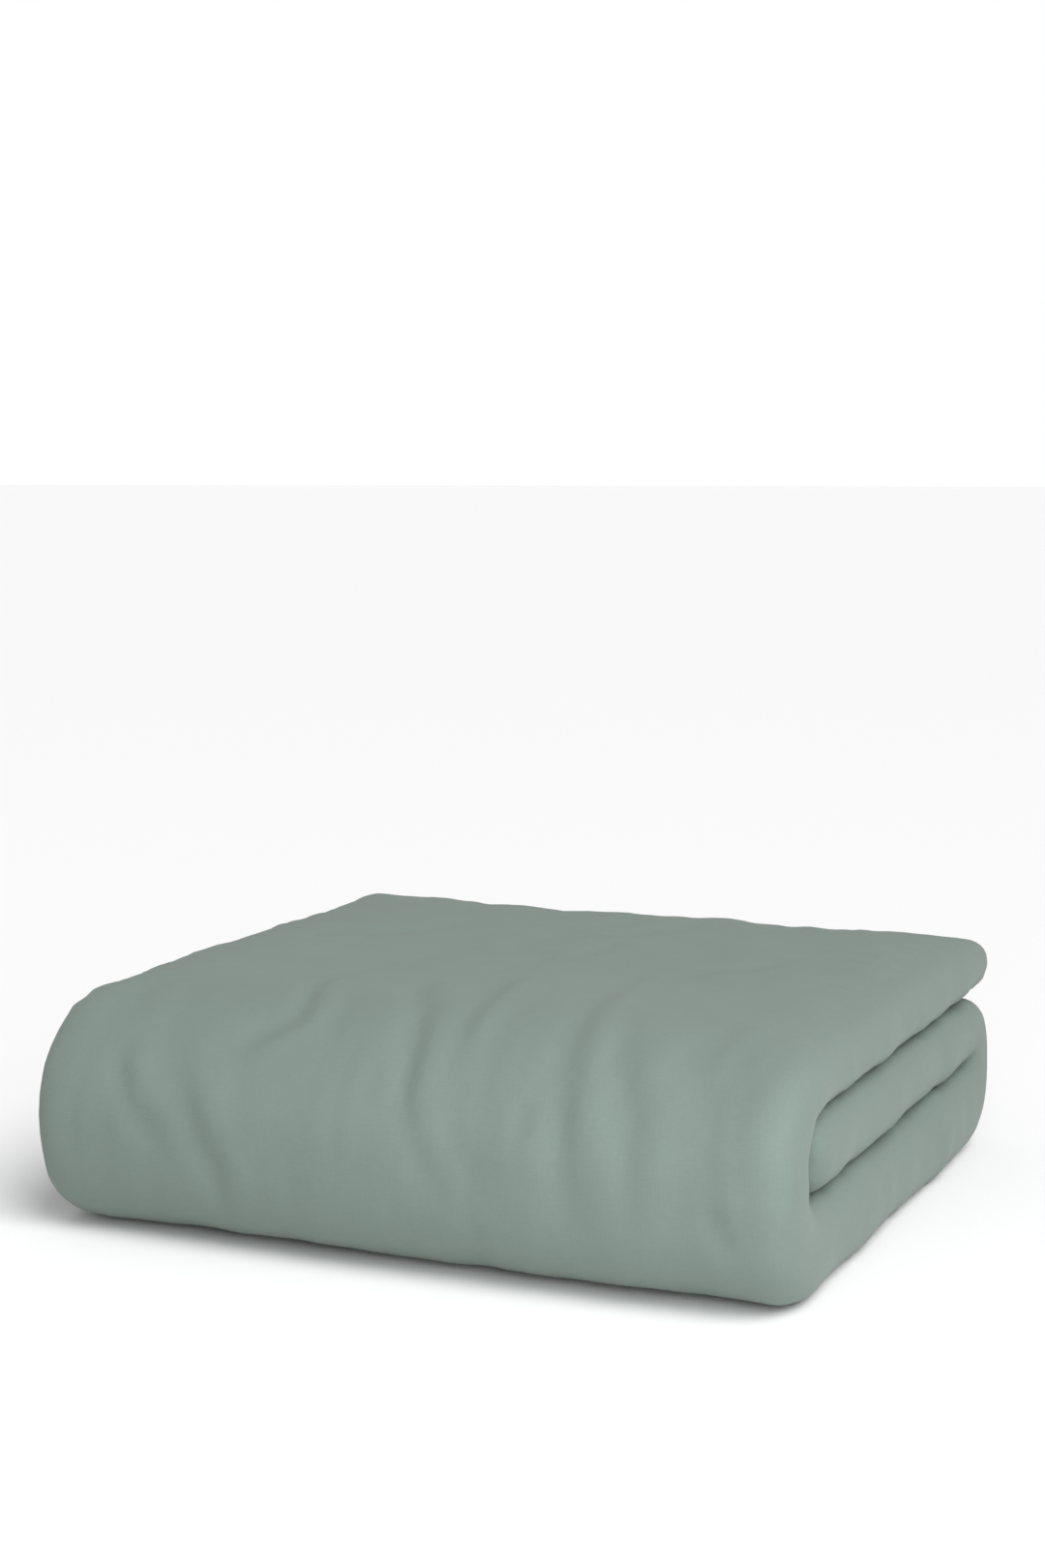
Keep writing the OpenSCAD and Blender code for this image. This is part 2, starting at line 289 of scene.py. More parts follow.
class Bag:
    """A flat bag folded in half over X and then along the spiral, as one grid for each of its panels."""

    def __init__(self, step, short=0.0, outer_inset=0.0, inner_inset=0.0, side_round=0.045,
                 end_round=0.036, seams_u=(), seams_s=(), seam_width=0.02, seam_floor=0.15, ear=0.0):
        flat = BEND_X - SIDE_X - short
        top = LEAF_T / 2 - outer_inset
        slit = PLY_GAP / 2 + inner_inset
        d = stations(flat + side_round, side_round, step)
        d = d[d < flat - 1e-6]
        turn_count = max(6, round(math.pi * LEAF_T / 2 / step))
        turns = np.linspace(0, math.pi, turn_count + 1)
        # columns: distance from the side edge on the outer ply, the turns of the fold, and back
        reach = np.concatenate([d, np.full(turn_count + 1, flat), d[::-1]])
        turn = np.concatenate([np.zeros(len(d)), turns, np.full(len(d), math.pi)])
        self.u = np.concatenate([d, flat + turns * LEAF_T / 2, 2 * flat + math.pi * LEAF_T / 2 - d[::-1]])
        length = S_END - 2 * short
        cuts = sorted({c[0] - short for c in CUTS.values()} | {S_BACK - short, S_BOTTOM - short,
                                                             S_ROLL - short})
        t = stations(length, end_round, step, cuts)
        self.s = short + t
        # swelling: 0 at the seams and 1 within
        edge_u = rounding(reach / side_round)
        edge_s = rounding(np.minimum(t, length - t) / end_round)
        x_plain = SIDE_X + short + reach
        shift = ear * smooth((x_plain + 0.03 * np.sin(turn) - EAR_FROM) / (EAR_TO - EAR_FROM))
        full = edge_u[:, None] * edge_s[None, :]
        for seam in seams_u:
            near = 1 - smooth(np.abs(self.u - seam) / seam_width)
            full = full * (1 - (1 - seam_floor) * near[:, None])
        for seam in seams_s:
            near = 1 - smooth(np.abs(self.s - seam) / seam_width)
            full = full * (1 - (1 - seam_floor) * near[None, :])
        calm = 1 - smooth((t - 0.02) / 0.12)
        s_grid = self.s[None, :] - shift[:, None] * calm[None, :]
        # the seam of the ear closes towards the leaf's middle, so that its end is one round nose
        closing = (shift / max(ear, 1e-9))[:, None] * (1 - smooth(t / end_round))[None, :]
        seam_mid = PLY_MID * (1 - 0.94 * closing)
        squarer = (np.abs(np.cos(turn)) ** 2.6 + np.abs(np.sin(turn)) ** 2.6) ** (-1 / 2.6)
        squarer = np.where(np.abs(np.sin(turn)) > 1e-6, squarer, 1.0)
        outer_n = seam_mid + (top * squarer[:, None] - seam_mid) * full
        inner_n = seam_mid - (seam_mid - slit) * np.clip(full, 0, 1)
        cos, sin = np.cos(turn)[:, None], np.sin(turn)[:, None]
        x0 = (SIDE_X + short + reach)[:, None]
        self.x_grid = np.broadcast_to(x0, outer_n.shape)
        self.turn_grid = np.broadcast_to(turn[:, None], outer_n.shape)
        self.u_grid = np.broadcast_to(self.u[:, None], outer_n.shape)
        self.s_grid = s_grid
        self.edge_d = np.minimum(np.broadcast_to(reach[:, None], outer_n.shape), 9)
        self.end_d = np.broadcast_to(np.minimum(t, length - t)[None, :], outer_n.shape)
        self.full = full
        self.outer = self._place(x0 + outer_n * sin, outer_n * cos, s_grid)
        self.inner = self._place(x0 + inner_n * sin, inner_n * cos, s_grid)

    @staticmethod
    def _place(x, n, s):
        """Points at section (x, n) and length s. In the roll they slide along it so that, once the pack
        has settled, each row is back on its own half-plane from the roll's middle line."""
        x = np.broadcast_to(x, n.shape)
        s = np.broadcast_to(s, n.shape)
        wanted = (s - S_BOTTOM) / ROLL_MID
        in_roll = (wanted > 1e-9) & (wanted < math.pi - 1e-9)
        slid = s.copy()
        for _ in range(6):
            y, z = spiral(slid, n)
            p = settle(np.stack([x, y, z], axis=-1), looks())
            reached = np.arctan2(ROLL_Y - p[..., 1], ROLL_R - p[..., 2])
            slid = np.where(in_roll, slid + (wanted - reached) * ROLL_MID, s)
            slid = np.where(in_roll, np.clip(slid, S_BOTTOM, S_ROLL), slid)
        y, z = spiral(slid, n)
        return np.stack([x, y, z], axis=-1)

    def outer_normals(self):
        du = np.gradient(self.outer, axis=0)
        ds = np.gradient(self.outer, axis=1)
        normal = np.cross(du, ds)
        size = np.linalg.norm(normal, axis=-1, keepdims=True)
        normal = normal / np.maximum(size, 1e-12)
        # turn it outward at one place on the top leaf, where outward is up
        i, j = len(self.u) // 4, len(self.s) - 20
        if normal[i, j, 2] < 0:
            normal = -normal
        return normal

    def displace(self, amount):
        """Moves the outer panel along its normals. Its edges stay where the two panels meet."""
        held = np.clip(self.full * 1.6, 0, 1)
        self.outer = self.outer + self.outer_normals() * (amount * held)[..., None]

    def pieces(self, looks):
        """Vertices, normals, cloth coordinates, and the faces of each piece."""
        nu, ns = len(self.u), len(self.s)
        inner = self.inner.copy()
        rim = np.zeros((nu, ns), bool)
        rim[[0, -1], :] = True
        rim[:, [0, -1]] = True
        index_out = np.arange(nu * ns).reshape(nu, ns)
        index_in = index_out + nu * ns
        index_in = np.where(rim, index_out, index_in)
        verts = np.concatenate([self.outer.reshape(-1, 3), inner.reshape(-1, 3)])
        verts = settle(verts, looks)
        verts[:, 2] = np.maximum(verts[:, 2], 0)
        cloth = np.stack([self.u_grid, self.s_grid], -1).reshape(-1, 2)
        cloth = np.concatenate([cloth, cloth + [3.0, 0]])

        def quads(index, flip):
            a, b = index[:-1, :-1], index[1:, :-1]
            c, d = index[1:, 1:], index[:-1, 1:]
            order = (a, d, c, b) if flip else (a, b, c, d)
            return np.stack(order, -1)

        out_q, in_q = quads(index_out, False), quads(index_in, True)
        # check the sense of the outer quads on the top leaf
        i, j = nu // 4, ns - 20
        p = verts[out_q[i, j]]
        if np.cross(p[1] - p[0], p[2] - p[0])[2] < 0:
            out_q, in_q = out_q[..., ::-1], in_q[..., ::-1]
        middle_s = (self.s[:-1] + self.s[1:]) / 2
        all_quads = np.concatenate([out_q.reshape(-1, 4), in_q.reshape(-1, 4)])
        normals = np.zeros_like(verts)
        d1 = verts[all_quads[:, 2]] - verts[all_quads[:, 0]]
        d2 = verts[all_quads[:, 3]] - verts[all_quads[:, 1]]
        face_n = np.cross(d1, d2)
        for k in range(4):
            np.add.at(normals, all_quads[:, k], face_n)
        normals /= np.maximum(np.linalg.norm(normals, axis=1, keepdims=True), 1e-15)
        made = {}
        for name, (s0, s1) in CUTS.items():
            cols = (middle_s > s0) & (middle_s < s1)
            faces = np.concatenate([out_q[:, cols].reshape(-1, 4), in_q[:, cols].reshape(-1, 4)])
            made[name] = (verts, normals, cloth, faces)
        return made


def resample(field, old, new, axis):
    """field along one axis, from stations old to stations new, by cubic pieces."""
    field = np.moveaxis(field, axis, 0)
    slope = np.gradient(field, old, axis=0)
    k = np.clip(np.searchsorted(old, new, side="right") - 1, 0, len(old) - 2)
    step = old[k + 1] - old[k]
    t = np.clip((new - old[k]) / step, 0, 1)
    shape = (-1,) + (1,) * (field.ndim - 1)
    t, step = t.reshape(shape), step.reshape(shape)
    out = ((1 + 2 * t) * (1 - t) ** 2 * field[k] + t * t * (3 - 2 * t) * field[k + 1]
           + step * (t * (1 - t) ** 2 * slope[k] - t * t * (1 - t) * slope[k + 1]))
    return np.moveaxis(out, 0, axis)


def box_mean(field, reach, axis):
    """Mean of field over reach stations to each side."""
    field = np.moveaxis(field, axis, 0)
    padded = np.concatenate([field[:1]] * (reach + 1) + [field] + [field[-1:]] * reach)
    total = np.cumsum(padded, axis=0)
    width = 2 * reach + 1
    return np.moveaxis((total[width:] - total[:-width]) / width, 0, axis)


def free_cloth(bag):
    """1 where the outer panel is free to move, 0 where another leaf or the floor holds it."""
    turn, s, x = bag.turn_grid, bag.s_grid, bag.x_grid
    outside = smooth((math.pi / 2 - turn + 0.35) / 0.35)
    open_air = smooth((s - S_BOTTOM - 0.01) / 0.05) + smooth((s - S_MIDDLE + 0.01) / 0.03) * smooth(
        (S_BACK + 0.01 - s) / 0.03)
    fold = smooth(np.sin(turn) * 2.2)
    return np.clip(np.maximum(outside * open_air, fold), 0, 1) * smooth(bag.full * 1.5)


def swollen(set_up):
    """The folds that form when the filling presses outward on cloth that is a little too wide: heights
    over a coarse bag's grid, by cloth simulation."""
    bag = Bag(set_up.sim_step, ear=NOSE_OUT)
    nu, ns = len(bag.u), len(bag.s)
    uneven = 0.003 * soft_noise(bag.x_grid / 0.04, bag.s_grid / 0.09, 77)
    start = (bag.outer + bag.outer_normals() * uneven[..., None]).reshape(-1, 3)
    free = free_cloth(bag).ravel()
    index = np.arange(nu * ns).reshape(nu, ns)
    quads = np.stack([index[:-1, :-1], index[1:, :-1], index[1:, 1:], index[:-1, 1:]], -1).reshape(-1, 4)
    i, j = nu // 4, ns - 12
    p = bag.outer
    if np.cross(p[i + 1, j] - p[i, j], p[i, j + 1] - p[i, j])[2] < 0:
        quads = quads[:, ::-1]
    mesh = bpy.data.meshes.new("swelling")
    mesh.from_pydata(start.tolist(), [], quads.tolist())
    obj = bpy.data.objects.new("swelling", mesh)
    scene = bpy.context.scene
    scene.collection.objects.link(obj)
    held = obj.vertex_groups.new(name="held")
    for k, share in enumerate(1 - free):
        held.add([k], float(share), "REPLACE")
    obj.shape_key_add(name="Basis")
    slack = obj.shape_key_add(name="slack")
    along_slack = 1 + set_up.cloth_slack * 0.35
    wide = start * np.array([1 + set_up.cloth_slack, along_slack, along_slack])
    slack.data.foreach_set("co", wide.astype(np.float32).ravel())
    cloth = obj.modifiers.new("cloth", "CLOTH")
    c = cloth.settings
    c.quality = 6
    c.mass = 0.25
    c.tension_stiffness = c.compression_stiffness = 12
    c.shear_stiffness = 4
    c.bending_stiffness = 0.1
    c.air_damping = 3
    c.vertex_group_mass = "held"
    c.pin_stiffness = 1.0
    c.rest_shape_key = slack
    c.use_pressure = True
    c.uniform_pressure_force = 0.3
    c.effector_weights.gravity = 0
    cloth.collision_settings.use_collision = False
    cloth.point_cache.frame_start, cloth.point_cache.frame_end = 1, SIM_FRAMES
    for step in range(1, SIM_FRAMES + 1):
        scene.frame_set(step)
    graph = bpy.context.evaluated_depsgraph_get()
    moved = np.empty(len(start) * 3, np.float32)
    obj.evaluated_get(graph).data.vertices.foreach_get("co", moved)
    scene.frame_set(1)
    bpy.data.objects.remove(obj)
    shift = moved.reshape(-1, 3).astype(float) - bag.outer.reshape(-1, 3)
    across = np.sum(shift.reshape(nu, ns, 3) * bag.outer_normals(), axis=-1)
    # only the folds are kept: what moved as a whole is taken away
    across = np.clip(across, -0.02, 0.02)
    broad = across
    for _ in range(3):
        broad = box_mean(box_mean(broad, 4, 0), 4, 1)
    folds = (across - broad) * free.reshape(nu, ns)
    return bag.u, bag.s, FOLD_CAP * np.tanh(folds / FOLD_CAP)


def mesh_piece(name, verts, normals, cloth, faces, material):
    used, flat = np.unique(faces, return_inverse=True)
    flat = flat.reshape(faces.shape)
    mesh = bpy.data.meshes.new(name)
    mesh.from_pydata(verts[used].tolist(), [], flat.tolist())
    mesh.update()
    attribute = mesh.attributes.new("cloth_place", "FLOAT_VECTOR", "POINT")
    spread = np.zeros((len(used), 3), np.float32)
    spread[:, :2] = cloth[used]
    attribute.data.foreach_set("vector", spread.ravel())
    mesh.polygons.foreach_set("use_smooth", [True] * len(mesh.polygons))
    mesh.normals_split_custom_set_from_vertices([tuple(v) for v in normals[used]])
    mesh.materials.append(material)
    obj = bpy.data.objects.new(name, mesh)
    bpy.context.scene.collection.objects.link(obj)
    return obj


def hinge_bend(k):
    """Start and end points for a blend over hinge k, as wide as the roll's inner cloth between hinges."""
    turn = 180 / HINGES
    angle = math.radians((k + 0.5) * turn)
    inner = ROLL_R - LEAF_T
    centre = Vector((0, ROLL_Y - inner * math.sin(angle), ROLL_R - inner * math.cos(angle)))
    along = Vector((0, -math.cos(angle), math.sin(angle)))
    half = 0.8 * inner * math.sin(math.radians(turn / 2))
    return centre - along * half, centre + along * half


def join_to_bodies(objs):
    """Rides or bends the five pieces of a bag. The keys are those of CUTS."""
    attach(objs["middle"], BASE)
    for k, key in enumerate(["lower", "roll_low", "roll_high", "upper"]):
        start, end = hinge_bend(k)
        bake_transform(objs[key], BODIES[k], BODIES[k + 1], start, end)


PARTS = {"middle": ["middle"], "lower": ["bottom", "back_fold", "roll_0", "roll_1"],
         "roll_low": ["roll_2"], "roll_high": ["roll_3"], "upper": ["roll_4", "top"]}


def make_pieces(bag, stem, material, nodes_of):
    """Objects for a bag's five pieces, on their bodies. nodes_of names the CAD nodes of one of PARTS."""
    objs = {}
    for key, data in bag.pieces(looks()).items():
        objs[key] = mesh_piece(f"{stem}_{key}", *data, material)
    join_to_bodies(objs)
    for key, parts in PARTS.items():
        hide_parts(*[node for part in parts for node in nodes_of(part)])


# ---------------------------------------------------------------- materials


def new_material(name):
    material = bpy.data.materials.new(name)
    material.use_nodes = True
    material.node_tree.nodes.clear()
    return material, material.node_tree.nodes, material.node_tree.links


def surface(nodes, links, values):
    """A Principled shader on the material's output, with these values on its sockets."""
    shader = nodes.new("ShaderNodeBsdfPrincipled")
    for name, value in values.items():
        shader.inputs[name].default_value = value
    out = nodes.new("ShaderNodeOutputMaterial")
    links.new(shader.outputs[0], out.inputs[0])
    return shader


def bump_normal(nodes, links, height, distance):
    """The normal of a surface whose relief is height times distance."""
    lift = nodes.new("ShaderNodeBump")
    lift.inputs["Distance"].default_value = distance
    links.new(height, lift.inputs["Height"])
    return lift.outputs[0]


def math_node(nodes, links, operation, a, b=None):
    node = nodes.new("ShaderNodeMath")
    node.operation = operation
    for socket, value in zip(node.inputs, (a, b)):
        if value is None:
            continue
        if isinstance(value, (int, float)):
            socket.default_value = value
        else:
            links.new(value, socket)
    return node.outputs[0]


def stretched_noise(nodes, links, place, scale, detail=2.0):
    """Noise drawn out by its three scales, in cells to a metre."""
    mapping = nodes.new("ShaderNodeMapping")
    mapping.inputs["Scale"].default_value = scale
    links.new(place, mapping.inputs["Vector"])
    noise = nodes.new("ShaderNodeTexNoise")
    noise.inputs["Scale"].default_value = 1.0
    noise.inputs["Detail"].default_value = detail
    noise.inputs["Roughness"].default_value = 0.55
    links.new(mapping.outputs[0], noise.inputs["Vector"])
    return noise.outputs[0]


def threads(nodes, links, place, axis, pitch):
    wave = nodes.new("ShaderNodeTexWave")
    wave.wave_type = "BANDS"
    wave.bands_direction = axis
    wave.wave_profile = "SIN"
    wave.inputs["Scale"].default_value = 0.314 / pitch
    wave.inputs["Distortion"].default_value = 0.6
    wave.inputs["Detail"].default_value = 1.0
    wave.inputs["Detail Scale"].default_value = 0.6
    links.new(place, wave.inputs["Vector"])
    return wave.outputs[1]


def woven(name, color, pitch=0.0011, slub=0.5, tone=0.06, bump=0.00016, roughness=0.86, sheen=0.12,
          by_cloth=True):
    """Plain-woven cloth: crossing threads, thick and thin places in both directions, and uneven dye."""
    material, nodes, links = new_material(name)
    if by_cloth:
        source = nodes.new("ShaderNodeAttribute")
        source.attribute_name = "cloth_place"
        place = source.outputs["Vector"]
    else:
        source = nodes.new("ShaderNodeTexCoord")
        place = source.outputs["Object"]

    def add(a, b):
        return math_node(nodes, links, "ADD", a, b)

    def times(a, b):
        return math_node(nodes, links, "MULTIPLY", a, b)

    warp, weft = (threads(nodes, links, place, axis, pitch) for axis in "XY")
    weave = times(add(warp, weft), 0.5)
    slub_x = stretched_noise(nodes, links, place, (90, 900, 300))
    slub_y = stretched_noise(nodes, links, place, (900, 90, 300))
    slubs = times(add(slub_x, slub_y), 0.5)
    fibres = stretched_noise(nodes, links, place, (2600, 2600, 2600), 3.0)
    dye = stretched_noise(nodes, links, place, (9, 7, 8), 4.0)
    height = add(add(times(weave, 0.5), times(slubs, 2.0 * slub)), times(fibres, 0.25))
    ramp = nodes.new("ShaderNodeValToRGB")
    links.new(add(times(slubs, 0.75), times(dye, 0.25)), ramp.inputs[0])
    ramp.color_ramp.elements[0].position = 0.3
    ramp.color_ramp.elements[1].position = 0.7
    for element, gain in zip(ramp.color_ramp.elements, (1 - tone, 1 + tone)):
        element.color = (*[min(1, c * gain) for c in color[:3]], 1)
    shader = surface(nodes, links, {"Sheen Weight": sheen, "Sheen Roughness": 0.5,
                                    "Specular IOR Level": 0.25})
    links.new(ramp.outputs[0], shader.inputs["Base Color"])
    links.new(bump_normal(nodes, links, height, bump), shader.inputs["Normal"])
    links.new(add(times(slubs, 0.1), roughness - 0.05), shader.inputs["Roughness"])
    return material


def loose_fibre(name, color):
    """Carded fibre filling: a mat of fine crossing hairs with soft lumps."""
    material, nodes, links = new_material(name)
    source = nodes.new("ShaderNodeTexCoord")
    place = source.outputs["Object"]
    hairs = stretched_noise(nodes, links, place, (1800, 140, 700), 4.0)
    cross = stretched_noise(nodes, links, place, (160, 1500, 700), 4.0)
    lumps = stretched_noise(nodes, links, place, (60, 60, 60), 3.0)
    height = math_node(nodes, links, "ADD", math_node(nodes, links, "ADD", hairs, cross), lumps)
    ramp = nodes.new("ShaderNodeValToRGB")
    links.new(lumps, ramp.inputs[0])
    ramp.color_ramp.elements[0].color = (*[c * 0.92 for c in color[:3]], 1)
    ramp.color_ramp.elements[1].color = (*color[:3], 1)
    shader = surface(nodes, links, {"Roughness": 0.95, "Sheen Weight": 0.4, "Subsurface Weight": 0.2,
                                    "Subsurface Radius": (0.01, 0.01, 0.01)})
    links.new(ramp.outputs[0], shader.inputs["Base Color"])
    links.new(bump_normal(nodes, links, height, 0.0009), shader.inputs["Normal"])
    return material


def pale_floor(name, color):
    material, nodes, links = new_material(name)
    surface(nodes, links, {"Base Color": (*color[:3], 1), "Roughness": 0.9, "Specular IOR Level": 0.1})
    return material


# ---------------------------------------------------------------- settings


class DuvetSizes(bpy.types.PropertyGroup):
    cover_step: FloatProperty(
        name="Cover mesh step", description="Distance between the cover mesh's points",
        default=0.007, min=0.003, max=0.02, unit="LENGTH")
    roll_sag: FloatProperty(
        name="Roll sag", description="How much squarer the front roll is near the floor",
        default=0.7, min=0, max=2)
    fold_lift: FloatProperty(
        name="Fold lift", description="How far the slits between leaves rise at the lengthwise fold",
        default=0.019, min=0, max=0.03, unit="LENGTH")
    side_tuck: FloatProperty(
        name="Side tuck", description="How far the seamed side is drawn in",
        default=0.009, min=0, max=0.02, unit="LENGTH")
    crown: FloatProperty(
        name="Crown", description="How far the top swells in its middle",
        default=0.0082, min=0, max=0.014, unit="LENGTH")
    sim_step: FloatProperty(
        name="Simulation step", description="Distance between the points of the cloth simulation",
        default=0.015, min=0.008, max=0.03, unit="LENGTH")
    fold_gain: FloatProperty(
        name="Fold gain", description="Share of the simulated folds' height that is kept",
        default=1.0, min=0, max=3)
    cloth_slack: FloatProperty(
        name="Cloth slack", description="How much wider the cover is than its filling needs",
        default=0.06, min=0, max=0.1, subtype="FACTOR")
    crease_depth: FloatProperty(
        name="Crease depth", description="Scale of the cover's soft creases",
        default=1.25, min=0, max=3)


class DuvetColors(bpy.types.PropertyGroup):
    cover: FloatVectorProperty(
        name="Cover", description="Dyed cotton of the cover", subtype="COLOR", size=4,
        default=(0.166, 0.214, 0.191, 1), min=0, max=1)
    ticking: FloatVectorProperty(
        name="Ticking", description="Cloth of the insert", subtype="COLOR", size=4,
        default=(0.82, 0.82, 0.79, 1), min=0, max=1)
    filling: FloatVectorProperty(
        name="Filling", description="Fibre filling", subtype="COLOR", size=4,
        default=(0.88, 0.88, 0.87, 1), min=0, max=1)
    floor: FloatVectorProperty(
        name="Floor", description="Floor of the stage", subtype="COLOR", size=4,
        default=(0.9, 0.9, 0.9, 1), min=0, max=1)


def looks():
    return bpy.context.scene.duvet_sizes


def colors():
    return bpy.context.scene.duvet_colors


# ---------------------------------------------------------------- cover

ROLL_FRONT = S_BOTTOM + ROLL_MID * math.pi / 2  # length at the roll's foremost line


def on_roll(x, degrees):
    """A place on the roll's outside, counted up from its foremost line."""
    return (x, ROLL_FRONT + ROLL_MID * math.radians(degrees))


def on_top(x, y):
    return (x, S_ROLL + y - ROLL_Y)


def cover_creases(x, s, scale):
    """Soft creases of the roll and the top, placed one by one."""
    lines = [
        ([on_roll(-.29, 50), on_roll(-.28, 28), on_roll(-.255, 8), on_roll(-.215, -6)], .011, .0030),
        ([on_roll(-.23, 45), on_roll(-.21, 23), on_roll(-.17, -16), on_roll(-.16, -45)], .013, .0032),
        ([on_top(-.13, -.13), on_top(-.145, -.20), on_roll(-.12, 72), on_roll(-.15, 57),
          on_roll(-.19, 36)], .010, .0036),
        ([on_top(-.05, -.12), on_top(-.04, -.19), on_roll(.01, 53), on_roll(.016, 27), on_roll(.038, 0),
          on_roll(.025, -32)], .011, .0034),
        ([on_top(.015, -.08), on_top(.027, -.17), on_roll(.05, 62), on_roll(.06, 36)], .010, .0030),
        ([on_top(.12, -.13), on_roll(.15, 77), on_roll(.16, 37), on_roll(.174, 5), on_roll(.2, -42)],
         .016, .0042),
        ([on_top(.16, -.18), on_roll(.2, 60), on_roll(.227, 35), on_roll(.237, -30)], .014, .0030),
        ([on_roll(.295, 0), on_roll(.33, -30)], .009, .0022),
        ([on_top(.14, -.05), on_top(.2, .02), on_top(.25, .09)], .014, .0028),
        ([on_top(-.3, -.02), on_top(-.2, .05), on_top(-.12, .16)], .016, .0030),
        ([on_top(-.05, .1), on_top(.04, .16), on_top(.1, .26)], .014, .0026),
    ]
    total = np.zeros_like(x)
    for points, width, depth in lines:
        total += crease(x, s, points, width, depth * scale)
    return total


class DUVET_OT_cover(bpy.types.Operator):
    """Makes the cover: one bag of two panels, folded, with its puckered seams and soft creases"""

    bl_idname = "duvet.cover"
    bl_label = "Cover"

    def execute(self, context):
        set_up, tints = looks(), colors()
        bag = Bag(set_up.cover_step, ear=NOSE_OUT)
        x, s, turn, u = bag.x_grid, bag.s_grid, bag.turn_grid, bag.u_grid
        outside = turn < math.pi / 2  # the ply that faces out of the spiral
        on_fold = np.sin(turn)
        free = outside & ((s > S_BOTTOM - 0.02) | ((s > S_MIDDLE - 0.02) & (s < S_BACK + 0.02)))
        free_share = np.where(free, 1.0, 0.0)
        # broad softness of the filling under the cloth
        lift = 0.0028 * soft_noise(x / 0.16, s / 0.13, 11)
        lift += 0.0011 * soft_noise((x + 0.4 * s) / 0.06, (s - 0.3 * x) / 0.10, 23)
        lift += cover_creases(x, s, set_up.crease_depth) * np.where(outside, 1, 0)
        # fine wrinkles, longer along the roll's turn than across it
        drift = x + 0.018 * soft_noise(x / 0.12, s / 0.12, 61)
        fine = 1 - np.abs(soft_noise(drift / 0.042, s / 0.17, 62)) * 2.2
        patch = smooth(soft_noise(x / 0.15, s / 0.12, 63) * 1.6 + 0.45)
        lift += 0.0011 * fine * patch * set_up.crease_depth
        # puckers along the side seams and the ends
        along_side = value_noise(s / 0.013, u * 0 + 3.3, 31) + 0.5 * value_noise(s / 0.006, u * 0, 32)
        lift += 0.0016 * along_side * np.exp(-bag.edge_d / 0.030)
        along_end = value_noise(u / 0.014, s * 0 + 1.7, 33)
        lift += 0.0014 * along_end * np.exp(-bag.end_d / 0.026)
        # pleats that run out of the slits at the lengthwise fold
        near_slit = np.abs(np.cos(turn)) ** 6 * smooth((x - 0.25) / 0.08)
        pleats = value_noise(s / 0.017, turn * 0.6, 41) + 0.5 * value_noise(s / 0.009, turn * 0.8, 42)
        lift += 0.0026 * pleats * near_slit * np.where(free & (on_fold < 0.2), 0.4, 1)
        lift += 0.0018 * soft_noise(s / 0.06, turn / 0.9, 43) * on_fold
        share = np.maximum(free_share, smooth(on_fold * 3))
        inward = -np.abs(lift) * 0.8
        amount = lift * share + inward * (1 - share)
        u_old, s_old, folds = swollen(set_up)
        folds = resample(resample(folds, u_old, bag.u, 0), s_old, bag.s, 1)
        amount = amount + set_up.fold_gain * folds * share
        bag.displace(np.clip(amount, -0.009, 0.008))
        cloth = woven("cover cotton", tints.cover)
        make_pieces(bag, "cover", cloth,
                    lambda part: [f"{side}_panel_{part}" for side in ("front", "back")])
        return {"FINISHED"}


# ---------------------------------------------------------------- insert and filling


def quilt_lines(short):
    """Lengths and widths of the insert's quilting seams, which part it into chambers."""
    flat = BEND_X - SIDE_X - short
    total = 2 * flat + math.pi * LEAF_T / 2
    column = (BEND_X + LEAF_T / 4 - SIDE_X - short) / 2
    across = [column, total / 2, total - column]
    along = [S_MIDDLE / 2, S_MIDDLE, S_BACK, (S_BACK + S_BOTTOM) / 2, S_BOTTOM, S_ROLL,
             (S_ROLL + S_END) / 2]
    return across, along


def inner_bag(step, short, outer_inset, inner_inset, seam_width, seam_floor, wave):
    across, along = quilt_lines(short)
    bag = Bag(step, short=short, outer_inset=outer_inset, inner_inset=inner_inset, seams_u=across,
              seams_s=along, seam_width=seam_width, seam_floor=seam_floor, ear=0.0)
    near_seam = np.zeros_like(bag.full)
    flat = np.zeros_like(bag.full)
    for seams, over, by, seed in ((across, bag.u_grid, bag.s_grid, 51), (along, bag.s_grid, bag.u_grid, 52)):
        for seam in seams:
            near_seam += np.exp(-np.abs(over - seam) / 0.02) * value_noise(by / 0.018, flat, seed)
    bag.displace(wave * (0.6 * soft_noise(bag.u_grid / 0.05, bag.s_grid / 0.05, 53) + near_seam))
    return bag


class DUVET_OT_insert(bpy.types.Operator):
    """Makes the insert's ticking, quilted into chambers, and its piping"""

    bl_idname = "duvet.insert"
    bl_label = "Insert"

    def execute(self, context):
        tints = colors()
        bag = inner_bag(0.012, 0.014, 0.0105, 0.0045, 0.022, 0.12, 0.0012)
        ticking = woven("ticking cotton", tints.ticking, pitch=0.0006, slub=0.3, tone=0.02, bump=0.0001)
        make_pieces(bag, "insert", ticking, lambda part: [f"insert_shell_{part}"])
        cord = woven("piping cord", tints.ticking, pitch=0.0009, slub=0.2, tone=0.05, bump=0.0002,
                     by_cloth=False)
        for node in sorted(n for n in frame["nodes"] if n.startswith("insert_piping")):
            # the end cords run further in near the fold, where the cover closes to a nose
            inward = -0.013 if node.endswith("top") else 0.013
            piping = settled_copy(node.replace("insert_", "soft_"), node, cord, inward)
        return {"FINISHED"}


